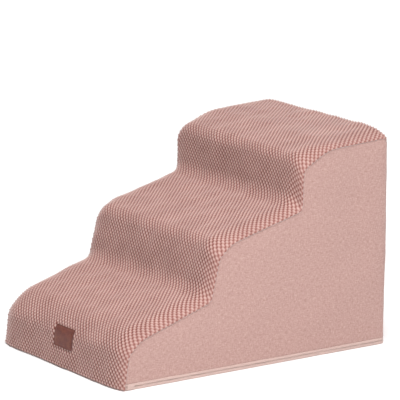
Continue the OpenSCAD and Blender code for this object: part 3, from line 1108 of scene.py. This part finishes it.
# %% [markdown]
# At the front of each side a short tab of the same tape is folded over the zip's end. It is a
# small flat cut on the path round the stairs, with its edges turned in towards the tapes.

# %% End tabs
tab_l = 15 * MM
tab_t = 1 * MM
tab_y = tape_end_y + knit_t
tab_rings = [0.2 * MM, 0.5 * MM, 1 * MM]
tab_edge_w, tab_edge_h = 1 * MM, 0.6 * MM


def end_tab(name, side):
    """The tab on the left (side 1) or on the right (side -1)."""
    low, high = way_round(tab_y + tab_l), way_round(tab_y)
    corners = np.array([(low, floor_gap), (high, floor_gap), (high, tape_top), (low, tape_top)])
    if side < 0:
        corners = (corners * [-1, 1])[::-1]

    def place(points, distance, back):
        a, z = points.T
        edge = turned_edge(distance, tab_edge_w, tab_edge_h)
        soft = slight_h * soft_noise(a, z, seed=60 + side, size=12 * MM)
        return around(a, z, seat_gap + tab_t + edge + soft - back)

    return cloth_cut(name, corners, place, tab_t, tab_rings,
                     edge_spacing=1.5 * MM, middle_spacing=2.5 * MM)


tabs = {"left_tab": end_tab("left_tab", 1), "right_tab": end_tab("right_tab", -1)}

# %% [markdown]
# Materials come next. Each one starts from what the real thing is made of. One small function adds
# a node with its settings and links, and colours are written as on a screen and turned to the
# linear values that Blender works with. Patterns read the cloth's UV map, which is in metres, or
# Object coordinates, also in metres, so a pattern's scale is simply one over its real size.

# %% Nodes and colours


def linear(hex_colour):
    """A colour as on a screen, such as #d4aca4, as Blender's linear values."""
    parts = [int(hex_colour[i:i + 2], 16) / 255 for i in (1, 3, 5)]
    return [c / 12.92 if c <= 0.04045 else ((c + 0.055) / 1.055) ** 2.4 for c in parts] + [1]


def add(tree, kind, inputs=None, stops=None, **settings):
    """A node of a kind with its settings. An input is a value, or another node's output to link
    from. stops are the places and colours of a colour ramp."""
    made = tree.nodes.new("ShaderNode" + kind)
    for key, value in settings.items():
        setattr(made, key, value)
    for key, value in (inputs or {}).items():
        if isinstance(value, bpy.types.NodeSocket):
            tree.links.new(value, made.inputs[key])
        else:
            made.inputs[key].default_value = value
    if stops:
        while len(made.color_ramp.elements) < len(stops):
            made.color_ramp.elements.new(0.5)
        for element, (place, colour) in zip(made.color_ramp.elements, stops):
            element.position = place
            element.color = linear(colour)
    return made


print("mid grey on a screen is", round(linear("#808080")[0], 3), "in linear values")

# %% Materials


def new_material(name, **shader):
    """A material and its tree, with constants set on the shader's own sockets."""
    made = bpy.data.materials.new(name)
    made.use_nodes = True
    sockets = made.node_tree.nodes["Principled BSDF"].inputs
    for key, value in shader.items():
        sockets[key.replace("_", " ")].default_value = value
    return made, made.node_tree


def finish_with(tree, colour=None, rough=None, normal=None):
    """Link the pattern's outputs to the shader."""
    sockets = tree.nodes["Principled BSDF"].inputs
    for key, output in (("Base Color", colour), ("Roughness", rough), ("Normal", normal)):
        if output is not None:
            tree.links.new(output, sockets[key])


def thread_waves(spacing):
    """The Scale of a Wave Texture whose bands lie spacing apart. At a scale of 1 Blender draws 20
    bands on 2 pi metres."""
    return 2 * math.pi / (20 * spacing)


print("threads 1 mm apart need a scale of", round(thread_waves(1 * MM), 1))

# %% [markdown]
# The bobble knit is brushed polyester yarn. Light catches the tops of the beads, and the small pits
# between them are deep and dark. Part of that is the dense yarn there. The rest is painted shade in
# the pits, on top of the shade that the relief casts. A picture of knit would repeat and slide off
# the beads, so the colour follows the beads' own height, worked out from the same waves as the
# relief.

# %% Colour from the beads' height


def bead_height(tree, cloth):
    """The height of the beads, from 0 in a pit to 1 on a bead, from the cloth's own measure."""
    place = add(tree, "SeparateXYZ", {0: cloth}).outputs
    across, along, rows = (
        add(tree, "Math", {0: place[k], 1: 2 * math.pi / length}, operation="MULTIPLY").outputs[0]
        for k, length in ((0, bead_cloth_w), (1, 2 * bead_l), (1, bead_l)))
    phases = [add(tree, "Math", {0: across, 1: along}, operation=kind).outputs[0]
              for kind in ("ADD", "SUBTRACT")]
    total = (2 - row_wave) / 4
    for phase, share in zip(phases + [rows], (*ridge_shares, row_wave / 2)):
        wave = add(tree, "Math", {0: phase}, operation="COSINE").outputs[0]
        total = add(tree, "Math", {0: wave, 1: share / 2, 2: total},
                    operation="MULTIPLY_ADD").outputs[0]
    return total


def beside_seams(tree, cloth, height):
    """The height of the beads, drawn towards its middle where the knit is taut beside the
    seams."""
    across = add(tree, "SeparateXYZ", {0: cloth}).outputs[0]
    from_middle = add(tree, "Math", {0: across}, operation="ABSOLUTE").outputs[0]
    slack = add(tree, "MapRange", {0: from_middle, 1: knit_u[-1] - taut_w, 2: knit_u[-1], 3: 1.0,
                                   4: taut}, interpolation_type="SMOOTHSTEP").outputs[0]
    over = add(tree, "Math", {0: height, 1: 0.5}, operation="SUBTRACT").outputs[0]
    return add(tree, "Math", {0: over, 1: slack, 2: 0.5}, operation="MULTIPLY_ADD").outputs[0]


print("the colour repeats every", round(bead_cloth_w / MM, 2), "by", round(bead_l / MM, 2), "mm")

# %% [markdown]
# Fine noise stands for single yarns, a larger one for dye that is never quite even, and a good
# deal of sheen makes the brushed fibres pale at grazing angles.

# %% Bobble knit
knit_yarn = 0.9 * MM
knit_dye = 50 * MM
yarn_share = 0.28


def bobble_knit():
    """Brushed polyester yarn, darker in the pits between the beads: partly the dense yarn, partly
    painted shade.
    """
    made, tree = new_material("bobble_knit", Roughness=0.95, Sheen_Weight=0.9, Sheen_Roughness=0.35,
                              Specular_IOR_Level=0.2)
    cloth = add(tree, "UVMap", uv_map="cloth").outputs[0]
    # Beside the seams the beads are lower, so the painted shade in the pits is weaker there too.
    height = beside_seams(tree, cloth, bead_height(tree, cloth))
    yarn = add(tree, "TexNoise", {"Vector": cloth, "Scale": 1 / knit_yarn, "Detail": 2.0,
                                  "Roughness": 0.6}).outputs[0]
    patch = add(tree, "TexNoise", {"Vector": cloth, "Scale": 1 / knit_dye, "Detail": 2.0})
    uneven = add(tree, "Math", {0: yarn, 1: yarn_share, 2: -yarn_share / 2},
                 operation="MULTIPLY_ADD").outputs[0]
    level = add(tree, "Math", {0: height, 1: uneven}, operation="ADD").outputs[0]
    # The ramp's dark low end is painted shade in the pits, added to the dense yarn's own colour and
    # to the relief's real shade.
    ramp = add(tree, "ValToRGB", {0: level}, stops=[
        (0.0, "#5b2f28"), (0.12, "#88564e"), (0.3, "#ae8078"), (0.58, "#c49f97"), (1.0, "#d2b3ab")])
    dye = add(tree, "ValToRGB", {0: patch.outputs[0]}, stops=[(0.3, "#f1eeee"), (0.7, "#ffffff")])
    colour = add(tree, "Mix", {0: 1.0, 6: ramp.outputs[0], 7: dye.outputs[0]}, data_type="RGBA",
                 blend_type="MULTIPLY").outputs[2]
    bump = add(tree, "Bump", {"Height": yarn, "Strength": 0.6, "Distance": 0.35 * MM})
    finish_with(tree, colour, normal=bump.outputs[0])
    return made


knit_finish = bobble_knit()
print(knit_finish.name, len(knit_finish.node_tree.nodes), "nodes")

# %% [markdown]
# The side and back panels are a plain weave of melange polyester, like thin linen: threads of
# slightly different pinks give it a fine heather, drawn by two noises that are stretched along
# the warp and the weft. The threads are 0.6 mm apart on the real cloth, which is too fine to show
# here, so they are drawn 1.2 mm apart.

# %% Plain weave
thread = 1.2 * MM
fleck = 7 * MM
fleck_stretch = 3.2
heather_gain = 1.6


def plain_weave(name, tones, contrast):
    """Melange plain weave. tones run from the darkest thread to the lightest."""
    made, tree = new_material(name, Roughness=0.92, Sheen_Weight=0.2, Sheen_Roughness=0.5,
                              Specular_IOR_Level=0.25)
    cloth = add(tree, "UVMap", uv_map="cloth").outputs[0]
    wave = {"Vector": cloth, "Scale": thread_waves(thread), "Distortion": 0.6, "Detail": 1.0}
    threads = [add(tree, "TexWave", wave, bands_direction=way).outputs[1] for way in ("X", "Y")]
    weave = add(tree, "Math", {0: threads[0], 1: threads[1]}, operation="MAXIMUM").outputs[0]
    flecks = []
    for stretch in ((1, fleck_stretch, 1), (fleck_stretch, 1, 1)):
        way = add(tree, "Mapping", {"Vector": cloth, "Scale": stretch}).outputs[0]
        flecks.append(add(tree, "TexNoise", {"Vector": way, "Scale": 1 / fleck, "Detail": 4.0,
                                             "Roughness": 0.7}).outputs[0])
    heather = add(tree, "Math", {0: flecks[0], 1: flecks[1]}, operation="ADD").outputs[0]
    gain = heather_gain * contrast
    heather = add(tree, "Math", {0: heather, 1: gain, 2: 0.5 - gain},
                  operation="MULTIPLY_ADD").outputs[0]
    ramp = add(tree, "ValToRGB", {0: heather},
               stops=[(k / (len(tones) - 1), tone) for k, tone in enumerate(tones)])
    shade = add(tree, "ValToRGB", {0: weave}, stops=[(0.0, "#eeeaea"), (0.6, "#ffffff")])
    colour = add(tree, "Mix", {0: 1.0, 6: ramp.outputs[0], 7: shade.outputs[0]},
                 data_type="RGBA", blend_type="MULTIPLY").outputs[2]
    bump = add(tree, "Bump", {"Height": weave, "Strength": 0.35, "Distance": 0.2 * MM})
    finish_with(tree, colour, normal=bump.outputs[0])
    return made


panel_finish = plain_weave("plain_weave", ["#a67e78", "#b49089", "#bd9b93", "#c9aaa1"], 1.2)
print(panel_finish.name, "with threads", thread / MM, "mm apart")

# %% [markdown]
# The zip's tape is woven polyester with a fine herringbone, a little lighter than the panels. Its
# ribs are in the mesh, and the herringbone is two slanting waves, drawn 1.1 mm apart so that it
# shows.

# %% Zip tape
herringbone = 1.1 * MM
herringbone_slant = 0.9


def zip_tape():
    """Woven polyester tape with a herringbone."""
    made, tree = new_material("zip_tape", Roughness=0.8, Sheen_Weight=0.15, Specular_IOR_Level=0.3)
    cloth = add(tree, "UVMap", uv_map="cloth").outputs[0]
    waves = []
    for slant in (herringbone_slant, -herringbone_slant):
        way = add(tree, "Mapping", {"Vector": cloth, "Rotation": (0, 0, slant)}).outputs[0]
        waves.append(add(tree, "TexWave", {"Vector": way, "Scale": thread_waves(herringbone),
                                           "Distortion": 0.3}).outputs[1])
    weave = add(tree, "Math", {0: waves[0], 1: waves[1]}, operation="MULTIPLY").outputs[0]
    ramp = add(tree, "ValToRGB", {0: weave},
               stops=[(0.0, "#c1a59d"), (0.5, "#d0b6ae"), (1.0, "#dfc6be")])
    bump = add(tree, "Bump", {"Height": weave, "Strength": 0.4, "Distance": 0.15 * MM})
    finish_with(tree, ramp.outputs[0], normal=bump.outputs[0])
    return made


tape_finish = zip_tape()
print(tape_finish.name, len(tape_finish.node_tree.nodes), "nodes")

# %% [markdown]
# The coil, the slider, the dots and the studio's floor are hard and even, so one recipe does for
# them all: small spots of noise move the colour, the gloss and the relief a little. The coil is
# nylon, smooth and slightly glossy. The slider and pull are zinc castings, powder-painted in the
# cover's pink, and fresh paint has a fine orange-peel surface. The dots are moulded PVC rubber
# with a little dust.

# %% Nylon, paint and rubber


def hard_finish(name, spot, stops, rough=None, relief=None, noise=None, **shader):
    """An even material with spots of one size. rough is the range of its roughness, relief the
    strength and depth of its bumps, and noise the noise's own settings."""
    made, tree = new_material(name, **shader)
    place = add(tree, "TexCoord").outputs["Object"]
    spots = add(tree, "TexNoise", {"Vector": place, "Scale": 1 / spot, **(noise or {})}).outputs[0]
    colour = add(tree, "ValToRGB", {0: spots}, stops=stops).outputs[0]
    finish_with(tree, colour)
    if rough:
        low, high = rough
        gloss = add(tree, "MapRange", {"Value": spots, "To Min": low, "To Max": high})
        finish_with(tree, rough=gloss.outputs[0])
    if relief:
        strength, depth = relief
        bumps = add(tree, "Bump", {"Height": spots, "Strength": strength, "Distance": depth})
        finish_with(tree, normal=bumps.outputs[0])
    return made


coil_finish = hard_finish("zip_nylon", 6 * MM, [(0.3, "#eccdc6"), (0.7, "#f8e0d9")], (0.3, 0.5),
                          Specular_IOR_Level=0.45, IOR=1.53, Coat_Weight=0.1)
slider_finish = hard_finish("painted_zinc", 0.6 * MM, [(0.35, "#c79d95"), (0.65, "#d0a8a0")],
                            (0.32, 0.48), (0.25, 0.04 * MM), {"Detail": 3.0},
                            Coat_Weight=0.35, Coat_Roughness=0.25, IOR=1.5)
dot_finish = hard_finish("pvc_rubber", 3 * MM, [(0.35, "#2c292b"), (0.7, "#3d393b")], (0.55, 0.8),
                         (0.2, 0.05 * MM), {"Detail": 4.0, "Roughness": 0.65},
                         IOR=1.52, Specular_IOR_Level=0.35)
print([finish.name for finish in (coil_finish, slider_finish, dot_finish)])

# %% [markdown]
# The patch is leatherette: brown polyurethane pressed with a fine grain of cells, and a little
# darker along its cut edges. How near a point lies to the edge is stored on the mesh, and the
# material reads it by its name.

# %% Leatherette
leather_grain = 1.3 * MM
leather_cloud = 14 * MM
patch_edge_w = 1.2 * MM
patch_edge_share = 0.6


def leatherette():
    """Pressed polyurethane, with an attribute for its edge."""
    made, tree = new_material("leatherette", Specular_IOR_Level=0.4, Sheen_Weight=0.1)
    cloth = add(tree, "UVMap", uv_map="cloth").outputs[0]
    grain = add(tree, "TexVoronoi", {"Vector": cloth, "Scale": 1 / leather_grain},
                feature="SMOOTH_F1").outputs["Distance"]
    cloud = add(tree, "TexNoise", {"Vector": cloth, "Scale": 1 / leather_cloud, "Detail": 3.0,
                                   "Roughness": 0.6}).outputs[0]
    ramp = add(tree, "ValToRGB", {0: cloud},
               stops=[(0.3, "#60261d"), (0.5, "#723426"), (0.72, "#84482f")])
    dark = add(tree, "ValToRGB", {0: grain}, stops=[(0.2, "#ffffff"), (0.75, "#cfc8c6")])
    edge = add(tree, "Attribute", attribute_name="edge").outputs["Fac"]
    tone = add(tree, "Mix", {0: 1.0, 6: ramp.outputs[0], 7: dark.outputs[0]}, data_type="RGBA",
               blend_type="MULTIPLY").outputs[2]
    colour = add(tree, "Mix", {0: edge, 6: tone, 7: linear("#5c2c25")}, data_type="RGBA").outputs[2]
    rough = add(tree, "MapRange", {"Value": cloud, "To Min": 0.5, "To Max": 0.68}).outputs[0]
    bump = add(tree, "Bump", {"Height": grain, "Strength": 0.5, "Distance": 0.12 * MM})
    finish_with(tree, colour, rough, bump.outputs[0])
    return made


patch_finish = leatherette()
label_edge = np.zeros(len(label.data.vertices))
for k, corner in enumerate(label.data.uv_layers["cloth"].data):
    x, s = corner.uv
    from_edge = min(label_w / 2 - abs(x), label_l / 2 - abs(s - label_low - label_l / 2))
    near = 1 - ease((from_edge - patch_edge_w) / patch_edge_w)
    label_edge[label.data.loops[k].vertex_index] = near * patch_edge_share
attribute = label.data.attributes.new("edge", "FLOAT", "POINT")
attribute.data.foreach_set("value", label_edge.astype(np.float32))
print(patch_finish.name, "is darker at", round((label_edge > 0).mean() * 100), "% of its points")

# %% [markdown]
# Under the stairs the cloth is a dark woven polyester. The foams inside are cut polyurethane: open
# cells give them a fine porous skin, and the comfort layer's are smaller and paler.

# %% Base cloth and foam
foam_cloud = 40 * MM


def cut_foam(name, cell, tones):
    """Cut polyurethane foam with open cells."""
    made, tree = new_material(name, Roughness=0.95, Specular_IOR_Level=0.2)
    place = add(tree, "TexCoord").outputs["Object"]
    cells = add(tree, "TexVoronoi", {"Vector": place, "Scale": 1 / cell}).outputs["Distance"]
    cloud = add(tree, "TexNoise", {"Vector": place, "Scale": 1 / foam_cloud, "Detail": 3.0})
    mixed = add(tree, "Math", {0: cells, 1: 0.4, 2: cloud.outputs[0]},
                operation="MULTIPLY_ADD").outputs[0]
    ramp = add(tree, "ValToRGB", {0: mixed}, stops=[(0.4, tones[0]), (0.9, tones[1])])
    bump = add(tree, "Bump", {"Height": cells, "Strength": 0.5, "Distance": 0.3 * MM})
    finish_with(tree, ramp.outputs[0], normal=bump.outputs[0])
    return made


base_finish = plain_weave("dark_weave", ["#3c3739", "#474244", "#524c4e"], 0.7)
block_finish = cut_foam("block_foam", 1.4 * MM, ["#ded3b4", "#efe6cf"])
comfort_finish = cut_foam("comfort_foam", 0.8 * MM, ["#eee8da", "#faf6ec"])
print([finish.name for finish in (base_finish, block_finish, comfort_finish)])

# %% [markdown]
# Every piece now gets its finish, which the CAD node it stands for takes as well. That node is
# hidden, and the piece rides on its body: the slider and the pull move, the rest is the stairs.

# %% Finishes, bodies and CAD nodes
dressed = [
    (knit_cover, knit_finish, "bobble_knit", "stairs", "step_cover"),
    (panels["left_panel"][0], panel_finish, "plain_fabric", "stairs", "left_side_panel"),
    (panels["right_panel"][0], panel_finish, "plain_fabric", "stairs", "right_side_panel"),
    (panels["rear_panel"][0], panel_finish, "plain_fabric", "stairs", "back_panel"),
    (tapes["lower_tape"], tape_finish, "zip_tape", "stairs", "lower_zip_tape"),
    (tapes["upper_tape"], tape_finish, "zip_tape", "stairs", "upper_zip_tape"),
    (tabs["left_tab"][0], tape_finish, "zip_tape", "stairs", "zip_end_tabs"),
    (tabs["right_tab"][0], tape_finish, "zip_tape", "stairs", "zip_end_tabs"),
    (coils["lower_coil"], coil_finish, "zip_coil", "stairs", "lower_zip_coil"),
    (coils["upper_coil"], coil_finish, "zip_coil", "stairs", "upper_zip_coil"),
    (slider, slider_finish, "zip_metal", "slider", "zip_slider"),
    (pull, slider_finish, "zip_metal", "pull", "zip_pull"),
    (label, patch_finish, "label_leather", "stairs", "label_patch"),
    (base_cloth, base_finish, "anti_slip_base", "stairs", "base_panel"),
    (dots, dot_finish, "anti_slip_base", "stairs", "base_panel"),
    (comfort, comfort_finish, "soft_foam", "stairs", "comfort_layer"),
    *[(block, block_finish, "foam", "stairs", f"{level}_foam_block")
      for level, block in blocks.items()],
]
for piece, finish, slot, body, node in dressed:
    for dressed_mesh in (piece.data, nodes[node].data):
        dressed_mesh.materials.clear()
        dressed_mesh.materials.append(finish)
    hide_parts(node)
    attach(piece, body)
print(len(dressed), "pieces dressed")

# %% [markdown]
# The camera stands where the photograph was taken from, far off with a long lens, a little above
# the stairs and to their front right.

# %% Camera
camera_azimuth = 55.56
camera_elevation = 12.54
camera_at = (4.7988, -3.2806, 1.5641)
camera_lens = 292.3
camera_sensor = 36
camera_sight = 400

lens = bpy.data.cameras.new("camera")
lens.lens = camera_lens
lens.sensor_width = camera_sensor
lens.clip_end = camera_sight
camera = link(bpy.data.objects.new("camera", lens))
camera.location = camera_at
camera.rotation_euler = (math.radians(90 - camera_elevation), 0, math.radians(camera_azimuth))
bpy.context.scene.camera = camera
print("camera", round(math.dist(camera_at, (0, 0, 0)), 2), "m away")

# %% [markdown]
# The light is that of a small studio: a white world lights everything softly, a wide light from
# above makes the treads brighter than the risers and draws their bobbles, a soft box on the right
# lifts the right side, and a weak wide light from behind keeps the back from going dark. The
# floor is plain and pale.

# %% Light and floor
world_light = 0.32
floor_size = 300
# Name, kind, strength, place, the way it shines, and how wide it is: an angle, or a size in metres.
lamps = (
    ("top_light", "SUN", 2.4, (0, 0, 3), (-0.3, 0.15, -0.95), math.radians(30)),
    ("back_fill", "SUN", 0.8, (-2, 2, 2), (0.62, -0.5, -0.6), math.radians(90)),
    ("softbox", "AREA", 6.9, (1.2, -0.45, 0.88), (-1, 0.36, -0.75), 0.8),
)
for name, kind, energy, place, way, width in lamps:
    light = bpy.data.lights.new(name, kind)
    light.energy = energy
    setattr(light, "angle" if kind == "SUN" else "size", width)
    lamp = link(bpy.data.objects.new(name, light))
    lamp.location = place
    lamp.rotation_euler = Vector(way).to_track_quat("-Z", "Y").to_euler()

world = bpy.data.worlds.new("studio")
world.use_nodes = True
world.node_tree.nodes["Background"].inputs["Color"].default_value = (1, 1, 1, 1)
world.node_tree.nodes["Background"].inputs["Strength"].default_value = world_light
bpy.context.scene.world = world
bpy.context.scene.view_settings.view_transform = "Standard"

bpy.ops.object.select_all(action="DESELECT")
bpy.ops.mesh.primitive_plane_add(size=floor_size, location=(0, 0, 0))
floor = bpy.context.active_object
floor.name = "floor"
floor.data.materials.append(
    hard_finish("matt_floor", 0.5, [(0.3, "#f6f6f6"), (0.7, "#f8f8f8")], Roughness=0.9))
floor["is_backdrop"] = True
print(len(lamps), "lamps, and a floor", floor_size, "m wide")

# %% Sizes, and the end
visual_bounds = [list(corner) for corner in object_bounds()]
for axis, *ends in zip("XYZ", *visual_bounds, *cad_bounds):
    low, high, cad_low, cad_high = [round(end, 4) for end in ends]
    print(axis, "visual", low, high, "CAD", cad_low, cad_high)
